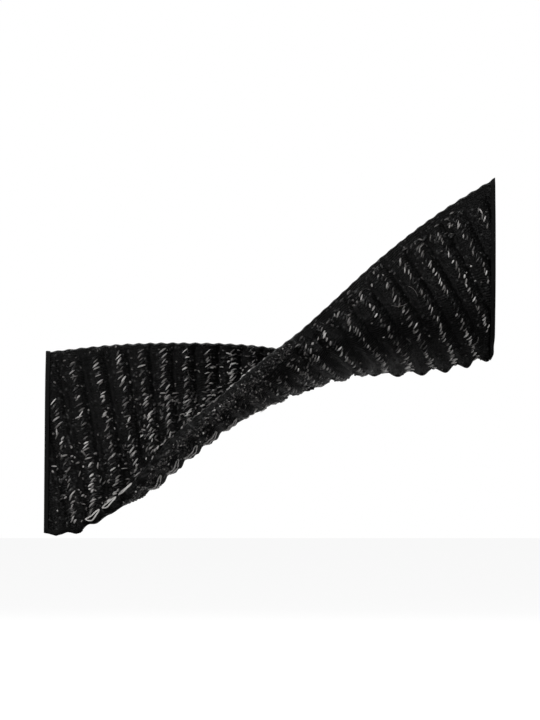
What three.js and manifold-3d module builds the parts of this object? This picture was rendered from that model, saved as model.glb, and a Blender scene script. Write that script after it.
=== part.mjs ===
// A clip-on bow tie: one wide ribbed band with a half twist in its middle, a collar clip behind the
// twist and a bound edge round each cut end. Millimetres: +X to the wearer's left wing tip as seen
// from the front, +Y to the back, +Z up. The origin is the middle of the clip's raised collar seat.
import * as THREE from "three";
import { mergeVertices } from "three/addons/utils/BufferGeometryUtils.js";
import Module from "manifold-3d";

// ---------------------------------------------------------------- driving dimensions
const WINGSPAN = 120; // between the two cut ends
const BAND_WIDTH = 52; // selvedge to selvedge, laid flat
const BAND_THICKNESS = 3.2; // over the ribs of both faces
const SLEEVE_WALL = 1.1; // one ply of the knit
const SELVEDGE = 2; // solid knit beside each edge of the sleeve's tunnel
const CLEARANCE = 0.3; // between pieces that touch
const CORNER_DROP = 48; // from the wings' level down to the flat cut of the lower left corner
const BINDING_WALL = 0.5;
const BINDING_LEG = 1.2; // how far the binding reaches over the band's faces

const PATCH_THICKNESS = 0.8;
const PATCH_RIBS = [8.8, 12.1]; // the ribs between which the backing patch lies
const PATCH_ACROSS = [0.01, 0.26]; // its reach across the band, from the back selvedge, as a share
const STITCH_WIDTH = 0.6;
const STITCH_THICKNESS = 0.4;
const PAD_LENGTH = 9.6;
const PAD_HEIGHT = 6.4;
const PAD_LEAST_THICKNESS = 1.2; // where the patch comes nearest the clip

const CLIP_RIB = 10.7; // the rib behind which the clip sits
const CLIP_ACROSS = 0.14;
const CLIP_TILT = THREE.MathUtils.degToRad(20); // along the band's own slope
const PLATE_LENGTH = 42;
const PLATE_WIDTH = 9;
const SHEET = 0.8; // steel sheet of the plate and the jaw
const SEWING_HOLE_RADIUS = 0.7;
const SEWING_HOLE_SPACING = [6, 3.6]; // along the plate and across it
const THREAD = 0.6;
const SEAT_WIDTH = 5; // of the raised collar seat, across the plate
const SEAT_RISE = 0.2;

const HINGE_OFFSET = -9; // along the plate, from its middle
const PIN_RADIUS = 1;
const PIN_HEIGHT = 3.4; // of its axis above the plate's back face
const PIN_HEAD_RADIUS = 1.5;
const PIN_HEAD_THICKNESS = 0.5;
const EAR_RADIUS = 2.2;
const RUNNING_GAP = 0.4; // between the plate's ears and the jaw
const JAW_REACH = 29; // from the hinge to the tip
const TAIL_REACH = 12; // from the hinge to the thumb end
const TAIL_RISE = 2.4;
const SPRING_WIRE = 0.7;
const SPRING_LEAST_PITCH = 0.77;
const SPRING_LEG = 4.5;
const GRIP_LENGTH = 12;
const GRIP_MARGIN = 0.3; // from a grip's side to the jaw's
const GRIP_THICKNESS = 0.9;
const GRIP_CORNER = 1;
const GRIP_INSET = 1.5; // from the jaw's tip to its grip

// ---------------------------------------------------------------- shape of the twisted band
// Drawn for a tie 120 wide with a 52 band. One row for every third rib, from left to right, and in
// each row six points of that rib at even spacing: from the selvedge on top of the left wing, which
// passes behind the twist, to the one that crosses in front and is on top of the right wing.
const DRAWN_WINGSPAN = 120;
const DRAWN_BAND_WIDTH = 52;
const FIRST_RIB = -3;
const RIBS_PER_ROW = 3;
const BAND_ROWS = [
  [[-78, 8, -2.4], [-76, 3.5, -11.5], [-74, 0.5, -21],
    [-72, -2, -31.2], [-70, -5, -41.4], [-68.3, -8.5, -51.5]],
  [[-60, 9, -0.1], [-58.6, 3, -8], [-56.8, -1, -17.4],
    [-54.8, -4.5, -27.4], [-52.8, -8, -37.4], [-51, -12.2, -47.2]],
  [[-41.3, 9.4, 2.1], [-39.9, 5.4, -7.4], [-38.2, 1, -17],
    [-36.4, -4.4, -26.8], [-34.6, -10.8, -36.2], [-38, -19.2, -37.4]],
  [[-23.2, 12.5, 2.6], [-22.8, 8.5, -6.4], [-22.2, 3, -15],
    [-21.2, -4.3, -22.4], [-20.8, -13.5, -26], [-26, -21, -23.2]],
  [[-4.8, 16, 2], [-4.8, 13.5, -6.6], [-5.2, 6.5, -13.2],
    [-5.6, -3.3, -15.2], [-7.2, -13, -14.8], [-13, -20, -12]],
  [[10.5, 19, -0.6], [11, 14.2, -6.7], [10.3, 4.6, -8.1],
    [8.6, -5.6, -7.8], [5, -14.4, -5.6], [-0.4, -19.6, -1]],
  [[28, 14.8, -4.4], [27.8, 5, -3.8], [26.5, -5, -2.4],
    [22.6, -13.8, 1.2], [18.2, -18.8, 5.8], [14.2, -14.5, 11]],
  [[47, 10, -3.6], [45.2, 0.5, 0.4], [42.3, -7.3, 5.4],
    [38.2, -12.3, 12], [33.6, -13, 19], [29.4, -7, 24.8]],
  [[63.2, 7, 0.8], [60.6, 0.8, 6.8], [57.2, -4, 14],
    [53, -7, 22], [48.8, -7, 29.8], [44.8, -3.5, 37]],
  [[79, 4, 6], [76, 1, 13.4], [72.6, -1.5, 21.8],
    [69.3, -3, 30.6], [65.8, -3, 39.4], [62.6, -1, 48.2]],
];
const LAST_RIB = FIRST_RIB + RIBS_PER_ROW * (BAND_ROWS.length - 1);
const STEPS_ALONG = 54;
const STEPS_ACROSS = 14;

const wasm = await Module();
wasm.setup();

// ---------------------------------------------------------------- solids
// A closed geometry as a solid that can be cut and joined.
function solidOf(geometry) {
  const bare = geometry.clone();
  bare.deleteAttribute("normal");
  bare.deleteAttribute("uv");
  const merged = mergeVertices(bare, 1e-4);
  return new wasm.Manifold(
    new wasm.Mesh({
      numProp: 3,
      vertProperties: merged.attributes.position.array,
      triVerts: new Uint32Array(merged.index.array),
    }),
  );
}

function geometryOf(solid) {
  const mesh = solid.getMesh();
  const geometry = new THREE.BufferGeometry();
  geometry.setAttribute("position", new THREE.BufferAttribute(new Float32Array(mesh.vertProperties), 3));
  geometry.setIndex(new THREE.BufferAttribute(new Uint32Array(mesh.triVerts), 1));
  geometry.computeVertexNormals();
  return geometry;
}

function joined(solids) {
  return solids.reduce((sum, solid) => sum.add(solid));
}

// A box from its lowest to its highest corner.
function boxSolid(low, high) {
  const size = high.map((value, axis) => value - low[axis]);
  const box = new THREE.BoxGeometry(...size);
  box.translate(...low.map((value, axis) => value + size[axis] / 2));
  return solidOf(box);
}

// A shape drawn on the clip's face (along, across), given thickness from one height to another.
function platePiece(shape, lowY, highY) {
  const depth = highY - lowY;
  const plate = new THREE.ExtrudeGeometry(shape, { depth, bevelEnabled: false, curveSegments: 10 });
  plate.rotateX(Math.PI / 2);
  plate.translate(0, highY, 0);
  return solidOf(plate);
}

// A shape drawn on the clip's side (along, outwards), given width from one side to another.
function sidePiece(shape, lowZ, highZ) {
  const depth = highZ - lowZ;
  const side = new THREE.ExtrudeGeometry(shape, { depth, bevelEnabled: false, curveSegments: 12 });
  side.translate(0, 0, lowZ);
  return solidOf(side);
}

// ---------------------------------------------------------------- the band's middle surface
function catmullRom(before, from, to, after, t) {
  const rise = to - before;
  const bend = 2 * before - 5 * from + 4 * to - after;
  const jerk = 3 * from - before - 3 * to + after;
  return from + 0.5 * t * (rise + t * (bend + t * jerk));
}

// The point at a place along a list of points, which may lie a little past either end of it.
function alongPoints(points, place) {
  const last = points.length - 1;
  const i = THREE.MathUtils.clamp(Math.floor(place), 0, last - 1);
  const mirrored = (end, inner) => points[end].map((value, axis) => 2 * value - points[inner][axis]);
  const before = i > 0 ? points[i - 1] : mirrored(0, 1);
  const after = i < last - 1 ? points[i + 2] : mirrored(last, last - 1);
  return points[i].map((value, axis) =>
    catmullRom(before[axis], value, points[i + 1][axis], after[axis], place - i),
  );
}

// The band's middle at a rib number and a share of the width from the back selvedge.
function bandPoint(rib, across) {
  const place = (rib - FIRST_RIB) / RIBS_PER_ROW;
  const points = BAND_ROWS[0].map((_, column) => alongPoints(BAND_ROWS.map((row) => row[column]), place));
  const [x, y, z] = alongPoints(points, across * (points.length - 1));
  const widthScale = BAND_WIDTH / DRAWN_BAND_WIDTH;
  return new THREE.Vector3((x * WINGSPAN) / DRAWN_WINGSPAN, y * widthScale, z * widthScale);
}

// The unit normal there: backwards on the left wing, forwards on the right wing.
function bandNormal(rib, across) {
  const step = 0.01;
  const along = bandPoint(rib + step, across).sub(bandPoint(rib - step, across));
  const over = bandPoint(rib, across + step).sub(bandPoint(rib, across - step));
  return along.cross(over).normalize();
}

// The solid between two distances from the middle surface, over a stretch of ribs and of the width.
function bandLayer({ ribs = [FIRST_RIB, LAST_RIB], across = [0, 1], from, to, steps }) {
  const [alongSteps, acrossSteps] = steps ?? [STEPS_ALONG, STEPS_ACROSS];
  const positions = [];
  for (const offset of [from, to]) {
    for (let i = 0; i <= alongSteps; i++) {
      const rib = THREE.MathUtils.lerp(ribs[0], ribs[1], i / alongSteps);
      for (let j = 0; j <= acrossSteps; j++) {
        const share = THREE.MathUtils.lerp(across[0], across[1], j / acrossSteps);
        const point = bandPoint(rib, share).addScaledVector(bandNormal(rib, share), offset);
        positions.push(point.x, point.y, point.z);
      }
    }
  }
  const rowLength = acrossSteps + 1;
  const layerLength = rowLength * (alongSteps + 1);
  const at = (i, j, layer) => layer * layerLength + i * rowLength + j;
  const index = [];
  const quad = (a, b, c, d) => index.push(a, b, c, a, c, d);
  for (let i = 0; i < alongSteps; i++) {
    for (let j = 0; j < acrossSteps; j++) {
      quad(at(i, j, 1), at(i + 1, j, 1), at(i + 1, j + 1, 1), at(i, j + 1, 1));
      quad(at(i, j, 0), at(i, j + 1, 0), at(i + 1, j + 1, 0), at(i + 1, j, 0));
    }
    quad(at(i, 0, 0), at(i + 1, 0, 0), at(i + 1, 0, 1), at(i, 0, 1));
    quad(at(i, acrossSteps, 0), at(i, acrossSteps, 1), at(i + 1, acrossSteps, 1), at(i + 1, acrossSteps, 0));
  }
  for (let j = 0; j < acrossSteps; j++) {
    quad(at(0, j, 0), at(0, j, 1), at(0, j + 1, 1), at(0, j + 1, 0));
    quad(at(alongSteps, j, 0), at(alongSteps, j + 1, 0), at(alongSteps, j + 1, 1), at(alongSteps, j, 1));
  }
  const layer = new THREE.BufferGeometry();
  layer.setAttribute("position", new THREE.Float32BufferAttribute(positions, 3));
  layer.setIndex(index);
  return solidOf(layer);
}

// What lies between the two end cuts and above the corner cut, both moved inwards by an inset.
function betweenCuts(inset) {
  const far = 2 * BAND_WIDTH;
  const side = WINGSPAN / 2 - inset;
  return boxSolid([-side, -far, inset - CORNER_DROP], [side, far, far]);
}

// ---------------------------------------------------------------- soft pieces
const HALF_THICKNESS = BAND_THICKNESS / 2;
const HALF_TUNNEL = HALF_THICKNESS - SLEEVE_WALL;
const BAND_INSET = BINDING_WALL + CLEARANCE;

function knitSleeve() {
  const edge = SELVEDGE / BAND_WIDTH;
  const outside = bandLayer({ from: -HALF_THICKNESS, to: HALF_THICKNESS });
  const tunnel = bandLayer({ across: [edge, 1 - edge], from: -HALF_TUNNEL, to: HALF_TUNNEL });
  return outside.subtract(tunnel).intersect(betweenCuts(BAND_INSET));
}

function interlining() {
  const edge = (SELVEDGE + CLEARANCE) / BAND_WIDTH;
  const half = HALF_TUNNEL - CLEARANCE;
  return bandLayer({ across: [edge, 1 - edge], from: -half, to: half }).intersect(betweenCuts(BAND_INSET));
}

// A channel folded over a cut end, and on the left over the corner cut too.
function endBinding(side) {
  const skin = CLEARANCE + BINDING_WALL;
  const layerOut = (distance) => {
    const past = distance / BAND_WIDTH;
    const half = HALF_THICKNESS + distance;
    return bandLayer({ across: [-past, 1 + past], from: -half, to: half });
  };
  const channel = layerOut(skin)
    .intersect(betweenCuts(0))
    .subtract(layerOut(CLEARANCE).intersect(betweenCuts(BINDING_WALL)))
    .subtract(betweenCuts(BINDING_LEG));
  const far = 2 * WINGSPAN;
  const [lowX, highX] = side < 0 ? [-far, 0] : [0, far];
  const half = boxSolid([lowX, -far, -far], [highX, far, far]);
  return channel.intersect(half);
}

const PATCH_FROM = HALF_THICKNESS + CLEARANCE;
const PATCH_TO = PATCH_FROM + PATCH_THICKNESS;

function backingPatch() {
  return bandLayer({
    ribs: PATCH_RIBS,
    across: PATCH_ACROSS,
    from: PATCH_FROM,
    to: PATCH_TO,
    steps: [12, 6],
  });
}

// One line of stitching down the patch's left margin, along its lower one and up the right one.
function patchStitching() {
  const ribPitch = bandPoint(CLIP_RIB + 1, CLIP_ACROSS).distanceTo(bandPoint(CLIP_RIB, CLIP_ACROSS));
  const from = PATCH_TO + CLEARANCE;
  const row = (ribs, across, steps) => bandLayer({ ribs, across, from, to: from + STITCH_THICKNESS, steps });
  const margin = [STITCH_WIDTH / ribPitch, STITCH_WIDTH / BAND_WIDTH];
  const ribs = [PATCH_RIBS[0] + margin[0], PATCH_RIBS[1] - margin[0]];
  const across = [PATCH_ACROSS[0] + margin[1], PATCH_ACROSS[1] - margin[1]];
  return joined([
    row([ribs[0], ribs[0] + margin[0]], across, [1, 8]),
    row([ribs[1] - margin[0], ribs[1]], across, [1, 8]),
    row(ribs, [across[1] - margin[1], across[1]], [16, 1]),
  ]);
}

// ---------------------------------------------------------------- where the clip sits
// The clip is drawn in a frame of its own: X along the plate, Y outwards to the back, Z across, and
// its origin in the middle of the plate's back face, under the raised seat.
const CLIP_TURN = new THREE.Matrix4().makeRotationY(-CLIP_TILT);

// How far back the patch reaches behind the pad.
function patchPeak() {
  const middle = bandPoint(CLIP_RIB, CLIP_ACROSS);
  const toClip = CLIP_TURN.clone().invert();
  const samples = 24;
  let peak = -Infinity;
  for (let i = 0; i <= samples; i++) {
    for (let j = 0; j <= samples; j++) {
      const rib = THREE.MathUtils.lerp(PATCH_RIBS[0], PATCH_RIBS[1], i / samples);
      const across = THREE.MathUtils.lerp(PATCH_ACROSS[0], PATCH_ACROSS[1], j / samples);
      const point = bandPoint(rib, across).addScaledVector(bandNormal(rib, across), PATCH_TO);
      const local = point.clone().sub(middle).applyMatrix4(toClip);
      const covered = Math.abs(local.x) < PLATE_LENGTH / 2 && Math.abs(local.z) < PLATE_WIDTH / 2;
      peak = covered ? Math.max(peak, point.y) : peak;
    }
  }
  return peak;
}

const seatMiddle = bandPoint(CLIP_RIB, CLIP_ACROSS);
const PAD_BACK = patchPeak() + CLEARANCE + PAD_LEAST_THICKNESS;
const CLIP_MIDDLE = new THREE.Vector3(seatMiddle.x, PAD_BACK + CLEARANCE + SHEET, seatMiddle.z);
const CLIP_PLACE = new THREE.Matrix4().setPosition(CLIP_MIDDLE).multiply(CLIP_TURN);
const SEAT = new THREE.Vector3(0, SEAT_RISE, 0).add(CLIP_MIDDLE);

// A block of felt between the patch and the plate. All of it in front of the patch's back is cut away.
function mountingPad() {
  const depth = BAND_THICKNESS + PATCH_THICKNESS + PAD_LEAST_THICKNESS;
  const block = new THREE.BoxGeometry(PAD_LENGTH, depth, PAD_HEIGHT);
  block.translate(0, -SHEET - CLEARANCE - depth / 2, 0);
  block.applyMatrix4(CLIP_PLACE);
  const [pastRibs, pastTop, pastBottom] = [1, 0.05, 0.2];
  const kept = bandLayer({
    ribs: [PATCH_RIBS[0] - pastRibs, PATCH_RIBS[1] + pastRibs],
    across: [-pastTop, PATCH_ACROSS[1] + pastBottom],
    from: -HALF_THICKNESS - depth,
    to: PATCH_TO + CLEARANCE,
    steps: [18, 14],
  });
  return solidOf(block).subtract(kept);
}

// ---------------------------------------------------------------- the clip
const JAW_WIDTH = PLATE_WIDTH - 2 * SHEET - 2 * RUNNING_GAP;
const PIN_HOLE_RADIUS = PIN_RADIUS + CLEARANCE;
const GRIP_WIDTH = JAW_WIDTH - 2 * GRIP_MARGIN;
const COIL_RADIUS = PIN_RADIUS + CLEARANCE + SPRING_WIRE / 2;
const GRIP_FROM = CLEARANCE; // the lower grip's underside above the plate
const JAW_GRIP_FROM = GRIP_FROM + GRIP_THICKNESS + CLEARANCE;
const JAW_TIP_FROM = JAW_GRIP_FROM + GRIP_THICKNESS + CLEARANCE;
const JAW_ROOT_FROM = PIN_HEIGHT + COIL_RADIUS + SPRING_WIRE / 2 + RUNNING_GAP;
const JAW_TIP = HINGE_OFFSET + JAW_REACH;
const JAW_ARM_END = JAW_TIP - GRIP_INSET - GRIP_LENGTH - CLEARANCE;
const GRIP_MIDDLE = JAW_TIP - GRIP_INSET - GRIP_LENGTH / 2;

function circleHole(x, y, radius) {
  const hole = new THREE.Path();
  hole.absarc(x, y, radius, 0, 2 * Math.PI, true);
  return hole;
}

// The plate's outline, with round ends and four sewing holes.
function plateOutline() {
  const radius = PLATE_WIDTH / 2;
  const straight = PLATE_LENGTH / 2 - radius;
  const outline = new THREE.Shape();
  outline.absarc(straight, 0, radius, -Math.PI / 2, Math.PI / 2, false);
  outline.absarc(-straight, 0, radius, Math.PI / 2, (3 * Math.PI) / 2, false);
  for (const along of [-0.5, 0.5]) {
    for (const across of [-0.5, 0.5]) {
      const x = along * SEWING_HOLE_SPACING[0];
      outline.holes.push(circleHole(x, across * SEWING_HOLE_SPACING[1], SEWING_HOLE_RADIUS));
    }
  }
  return outline;
}

// A lug with a round head about the pin and a foot at a given height, below or above it.
function lugOutline(footHeight) {
  const above = footHeight > PIN_HEIGHT;
  const [left, right] = [HINGE_OFFSET - EAR_RADIUS, HINGE_OFFSET + EAR_RADIUS];
  const [from, to] = above ? [left, right] : [right, left];
  const startAngle = above ? Math.PI : 0;
  const lug = new THREE.Shape();
  lug.moveTo(to, footHeight);
  lug.lineTo(from, footHeight);
  lug.lineTo(from, PIN_HEIGHT);
  lug.absarc(HINGE_OFFSET, PIN_HEIGHT, EAR_RADIUS, startAngle, startAngle + Math.PI, false);
  lug.holes.push(circleHole(HINGE_OFFSET, PIN_HEIGHT, PIN_HOLE_RADIUS));
  return lug;
}

// The raised collar seat fills the plate between the two pairs of sewing holes.
function raisedSeat() {
  const x = SEWING_HOLE_SPACING[0] / 2 - SEWING_HOLE_RADIUS - CLEARANCE;
  const z = SEAT_WIDTH / 2;
  return boxSolid([-x, -SHEET / 2, -z], [x, SEAT_RISE, z]);
}

function clipBasePlate() {
  const plate = joined([platePiece(plateOutline(), -SHEET, 0), raisedSeat()]);
  const ear = lugOutline(-SHEET / 2);
  const outer = PLATE_WIDTH / 2;
  return joined([plate, sidePiece(ear, outer - SHEET, outer), sidePiece(ear, -outer, SHEET - outer)]);
}

// The lever's side view: flat tip, straight arm, root over the hinge and a raised thumb end.
function jawOutline() {
  const tail = HINGE_OFFSET - TAIL_REACH;
  const jaw = new THREE.Shape();
  jaw.moveTo(JAW_TIP, JAW_TIP_FROM);
  jaw.lineTo(JAW_TIP, JAW_TIP_FROM + SHEET);
  jaw.lineTo(JAW_ARM_END, JAW_TIP_FROM + SHEET);
  jaw.lineTo(HINGE_OFFSET + EAR_RADIUS, JAW_ROOT_FROM + SHEET);
  jaw.lineTo(HINGE_OFFSET - EAR_RADIUS, JAW_ROOT_FROM + SHEET);
  jaw.lineTo(tail, JAW_ROOT_FROM + TAIL_RISE + SHEET);
  jaw.lineTo(tail, JAW_ROOT_FROM + TAIL_RISE);
  jaw.lineTo(HINGE_OFFSET - EAR_RADIUS, JAW_ROOT_FROM);
  jaw.lineTo(HINGE_OFFSET + EAR_RADIUS, JAW_ROOT_FROM);
  jaw.lineTo(JAW_ARM_END, JAW_TIP_FROM);
  jaw.closePath();
  return jaw;
}

function clipJaw() {
  const half = JAW_WIDTH / 2;
  const lug = lugOutline(JAW_ROOT_FROM + SHEET / 2);
  const lever = sidePiece(jawOutline(), -half, half);
  return joined([lever, sidePiece(lug, half - SHEET, half), sidePiece(lug, -half, SHEET - half)]);
}

// A pin with a flat head outside each ear.
function clipHingePin() {
  const shank = PLATE_WIDTH / 2 + CLEARANCE;
  const end = shank + PIN_HEAD_THICKNESS;
  const profile = [
    [0, -end],
    [PIN_HEAD_RADIUS, -end],
    [PIN_HEAD_RADIUS, -shank],
    [PIN_RADIUS, -shank],
    [PIN_RADIUS, shank],
    [PIN_HEAD_RADIUS, shank],
    [PIN_HEAD_RADIUS, end],
    [0, end],
  ].map(([radius, height]) => new THREE.Vector2(radius, height));
  const pin = new THREE.LatheGeometry(profile, 24);
  pin.rotateX(Math.PI / 2);
  pin.translate(HINGE_OFFSET, PIN_HEIGHT, 0);
  return solidOf(pin);
}

// The jaw's underside between its root and its flat tip.
function jawUnderside(x) {
  const [from, to] = [HINGE_OFFSET + EAR_RADIUS, JAW_ARM_END];
  return THREE.MathUtils.mapLinear(x, from, to, JAW_ROOT_FROM, JAW_TIP_FROM);
}

const COIL_WIDTH = JAW_WIDTH - 2 * SHEET - 2 * RUNNING_GAP - SPRING_WIRE;
const SPRING_TURNS = Math.floor(COIL_WIDTH / SPRING_LEAST_PITCH - 0.5) + 0.5;
const SPRING_LEG_SHARE = 0.1; // of the curve's parameter, for each leg

// The spring's centre line: a leg on the plate, close turns round the pin, a leg under the jaw.
class SpringLine extends THREE.Curve {
  getPoint(t, target = new THREE.Vector3()) {
    const legEnd = HINGE_OFFSET + SPRING_LEG;
    const seatedLow = SPRING_WIRE / 2 + CLEARANCE;
    const seatedHigh = jawUnderside(legEnd) - SPRING_WIRE / 2 - CLEARANCE;
    const turned = THREE.MathUtils.clamp((t - SPRING_LEG_SHARE) / (1 - 2 * SPRING_LEG_SHARE), 0, 1);
    const angle = -Math.PI / 2 - turned * 2 * Math.PI * SPRING_TURNS;
    const out = Math.max(SPRING_LEG_SHARE - t, t - 1 + SPRING_LEG_SHARE, 0) / SPRING_LEG_SHARE;
    const coilY = PIN_HEIGHT + COIL_RADIUS * Math.sin(angle);
    const legY = t < 0.5 ? seatedLow : seatedHigh;
    const x = HINGE_OFFSET + COIL_RADIUS * Math.cos(angle) + out * SPRING_LEG;
    return target.set(x, THREE.MathUtils.lerp(coilY, legY, out), COIL_WIDTH * (turned - 0.5));
  }
}

function clipSpring() {
  const section = new THREE.Shape();
  section.absarc(0, 0, SPRING_WIRE / 2, 0, 2 * Math.PI, false);
  const spring = new THREE.ExtrudeGeometry(section, {
    steps: 110,
    curveSegments: 3,
    extrudePath: new SpringLine(),
    bevelEnabled: false,
  });
  return solidOf(spring);
}

// A rubber strip with round corners, from a height above the plate.
function gripStrip(fromY) {
  const x = GRIP_LENGTH / 2 - GRIP_CORNER;
  const z = GRIP_WIDTH / 2 - GRIP_CORNER;
  const quarter = Math.PI / 2;
  const strip = new THREE.Shape();
  [[x, -z], [x, z], [-x, z], [-x, -z]].forEach(([cornerX, cornerZ], i) => {
    strip.absarc(GRIP_MIDDLE + cornerX, cornerZ, GRIP_CORNER, (i - 1) * quarter, i * quarter, false);
  });
  return platePiece(strip, fromY, fromY + GRIP_THICKNESS);
}

// A staple of thread through a pair of the plate's sewing holes.
function plateStitch(side) {
  const [along, across] = SEWING_HOLE_SPACING;
  const half = THREAD / 2;
  const x = (side * along) / 2;
  const bar = boxSolid(
    [x - half, CLEARANCE, -across / 2 - half],
    [x + half, CLEARANCE + THREAD, across / 2 + half],
  );
  const legs = [-across / 2, across / 2].map((z) =>
    boxSolid([x - half, -SHEET, z - half], [x + half, CLEARANCE + half, z + half]),
  );
  return joined([bar, ...legs]);
}

// ---------------------------------------------------------------- the tie
const knit = { color: 0x101010, roughness: 0.7, metalness: 0 };
const cloth = { color: 0x17171a, roughness: 0.9, metalness: 0 };
const thread = { color: 0x0c0c0e, roughness: 0.6, metalness: 0 };
const steel = { color: 0xb9bbbe, roughness: 0.28, metalness: 1 };
const rubber = { color: 0x2a2a2c, roughness: 0.8, metalness: 0 };

function named(name, solid, look) {
  const mesh = new THREE.Mesh(geometryOf(solid), new THREE.MeshStandardMaterial(look));
  mesh.name = name;
  return mesh;
}

const clip = new THREE.Group();
clip.applyMatrix4(CLIP_PLACE);
clip.add(
  named("clip_base_plate", clipBasePlate(), steel),
  named("clip_base_grip", gripStrip(GRIP_FROM), rubber),
  named("clip_jaw", clipJaw(), steel),
  named("clip_jaw_grip", gripStrip(JAW_GRIP_FROM), rubber),
  named("clip_hinge_pin", clipHingePin(), steel),
  named("clip_spring", clipSpring(), steel),
  named("plate_stitch_left", plateStitch(-1), thread),
  named("plate_stitch_right", plateStitch(1), thread),
);

const tie = new THREE.Group();
tie.position.copy(SEAT).negate();
tie.add(
  named("knit_sleeve", knitSleeve(), knit),
  named("interlining", interlining(), cloth),
  named("left_end_binding", endBinding(-1), knit),
  named("right_end_binding", endBinding(1), knit),
  named("backing_patch", backingPatch(), cloth),
  named("patch_stitching", patchStitching(), thread),
  named("mounting_pad", mountingPad(), cloth),
  clip,
);

const part = new THREE.Group();
part.add(tie);

export default part;
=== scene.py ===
"""A clip-on bow tie: a black ribbed knit band with a half twist, and a sprung collar clip behind it."""

import math

import bmesh
import bpy
import numpy as np
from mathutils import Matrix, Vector


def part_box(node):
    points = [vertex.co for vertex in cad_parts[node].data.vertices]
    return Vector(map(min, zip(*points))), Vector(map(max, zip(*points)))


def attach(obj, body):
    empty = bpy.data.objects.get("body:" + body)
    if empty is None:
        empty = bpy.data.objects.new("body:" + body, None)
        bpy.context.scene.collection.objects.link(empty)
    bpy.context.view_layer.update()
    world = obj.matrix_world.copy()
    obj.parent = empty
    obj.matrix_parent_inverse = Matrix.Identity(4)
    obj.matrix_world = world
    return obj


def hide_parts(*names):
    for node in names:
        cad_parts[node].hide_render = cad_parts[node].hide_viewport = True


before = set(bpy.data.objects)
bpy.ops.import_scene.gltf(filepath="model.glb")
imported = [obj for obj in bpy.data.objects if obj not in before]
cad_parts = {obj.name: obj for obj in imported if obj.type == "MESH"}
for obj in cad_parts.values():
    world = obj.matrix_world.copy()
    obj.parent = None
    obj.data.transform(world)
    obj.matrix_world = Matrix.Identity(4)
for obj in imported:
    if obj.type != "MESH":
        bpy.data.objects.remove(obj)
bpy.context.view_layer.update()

MM = 0.001

# ---------------------------------------------------------------- driving sizes, in millimetres
WINGSPAN = 120
BAND_WIDTH = 52
RIB_PITCH = 6
BAND_THICKNESS = 3.2
HALF_THICKNESS = BAND_THICKNESS / 2
CORNER_DROP = 48
BINDING_WALL = 0.5
BINDING_LEG = 1.2
CLEARANCE = 0.3
BAND_INSET = BINDING_WALL + CLEARANCE
INTERLINING_HALF = 0.2
SELVEDGE = 2.3  # from the band's edge to the interlining's
PATCH_THICKNESS = 0.8
PATCH_RIBS = (8.8, 12.1)
PATCH_ACROSS = (0.01, 0.26)
PATCH_FROM = HALF_THICKNESS + CLEARANCE
PATCH_TO = PATCH_FROM + PATCH_THICKNESS
PATCH_MARGIN = 0.9  # from the patch's edge to its stitching
STITCH_LENGTH = 1.5
STITCH_GAP = 0.7
THREAD_RADIUS = 0.19
CLIP_TILT = math.radians(20)
SEAT_RISE = 0.2  # from the plate's back face up to the collar seat, which is the frame's origin
PLATE_SHEET = 0.8
SEWING_HOLES = (6, 3.6)  # their spacing along the plate and across it

VALLEY_DEPTH = 1.25
VALLEY_SHARPNESS = 3.2
COURSE = 0.8  # from one course of the knit to the next
COURSE_HEIGHT = 0.15
STITCH_HEAD = 0.75
SCALLOP = 0.6
SMALL_BUMP = 0.16
WAVE = 0.8
FILAMENT_RADIUS = 0.25
FILAMENT_SPACING = 1.15
BAND_ROW_STEP = 0.145  # between the mesh's lines along the band
BAND_COLUMNS = 264
FLOAT_ROWS_END = 23  # the rib that the rows of floats stop short of
LOOPED_SCALLOPS = 10
EDGE_SCALLOPS = 3  # of those, the ones whose loop lies on the wing's own rim and not on the lap
STRAY_FIBRES = 34

PICTURE_HEIGHT = 192
PICTURE_CENTRE = -1.87  # the height the camera looks at, in the band's own frame
FLOOR_LEVEL = -140
FLOOR_SIZE = 8000
CAMERA_DISTANCE = 2000

# The band's middle surface, as the part has it: one row for every third rib, from left to right, and
# in each row six points of that rib at even spacing from the back selvedge to the front one.
FIRST_RIB = -3
RIBS_PER_ROW = 3
BAND_ROWS = np.array([
    [[-78, 8, -2.4], [-76, 3.5, -11.5], [-74, 0.5, -21],
     [-72, -2, -31.2], [-70, -5, -41.4], [-68.3, -8.5, -51.5]],
    [[-60, 9, -0.1], [-58.6, 3, -8], [-56.8, -1, -17.4],
     [-54.8, -4.5, -27.4], [-52.8, -8, -37.4], [-51, -12.2, -47.2]],
    [[-41.3, 9.4, 2.1], [-39.9, 5.4, -7.4], [-38.2, 1, -17],
     [-36.4, -4.4, -26.8], [-34.6, -10.8, -36.2], [-38, -19.2, -37.4]],
    [[-23.2, 12.5, 2.6], [-22.8, 8.5, -6.4], [-22.2, 3, -15],
     [-21.2, -4.3, -22.4], [-20.8, -13.5, -26], [-26, -21, -23.2]],
    [[-4.8, 16, 2], [-4.8, 13.5, -6.6], [-5.2, 6.5, -13.2],
     [-5.6, -3.3, -15.2], [-7.2, -13, -14.8], [-13, -20, -12]],
    [[10.5, 19, -0.6], [11, 14.2, -6.7], [10.3, 4.6, -8.1],
     [8.6, -5.6, -7.8], [5, -14.4, -5.6], [-0.4, -19.6, -1]],
    [[28, 14.8, -4.4], [27.8, 5, -3.8], [26.5, -5, -2.4],
     [22.6, -13.8, 1.2], [18.2, -18.8, 5.8], [14.2, -14.5, 11]],
    [[47, 10, -3.6], [45.2, 0.5, 0.4], [42.3, -7.3, 5.4],
     [38.2, -12.3, 12], [33.6, -13, 19], [29.4, -7, 24.8]],
    [[63.2, 7, 0.8], [60.6, 0.8, 6.8], [57.2, -4, 14],
     [53, -7, 22], [48.8, -7, 29.8], [44.8, -3.5, 37]],
    [[79, 4, 6], [76, 1, 13.4], [72.6, -1.5, 21.8],
     [69.3, -3, 30.6], [65.8, -3, 39.4], [62.6, -1, 48.2]],
], dtype=float)
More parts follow.
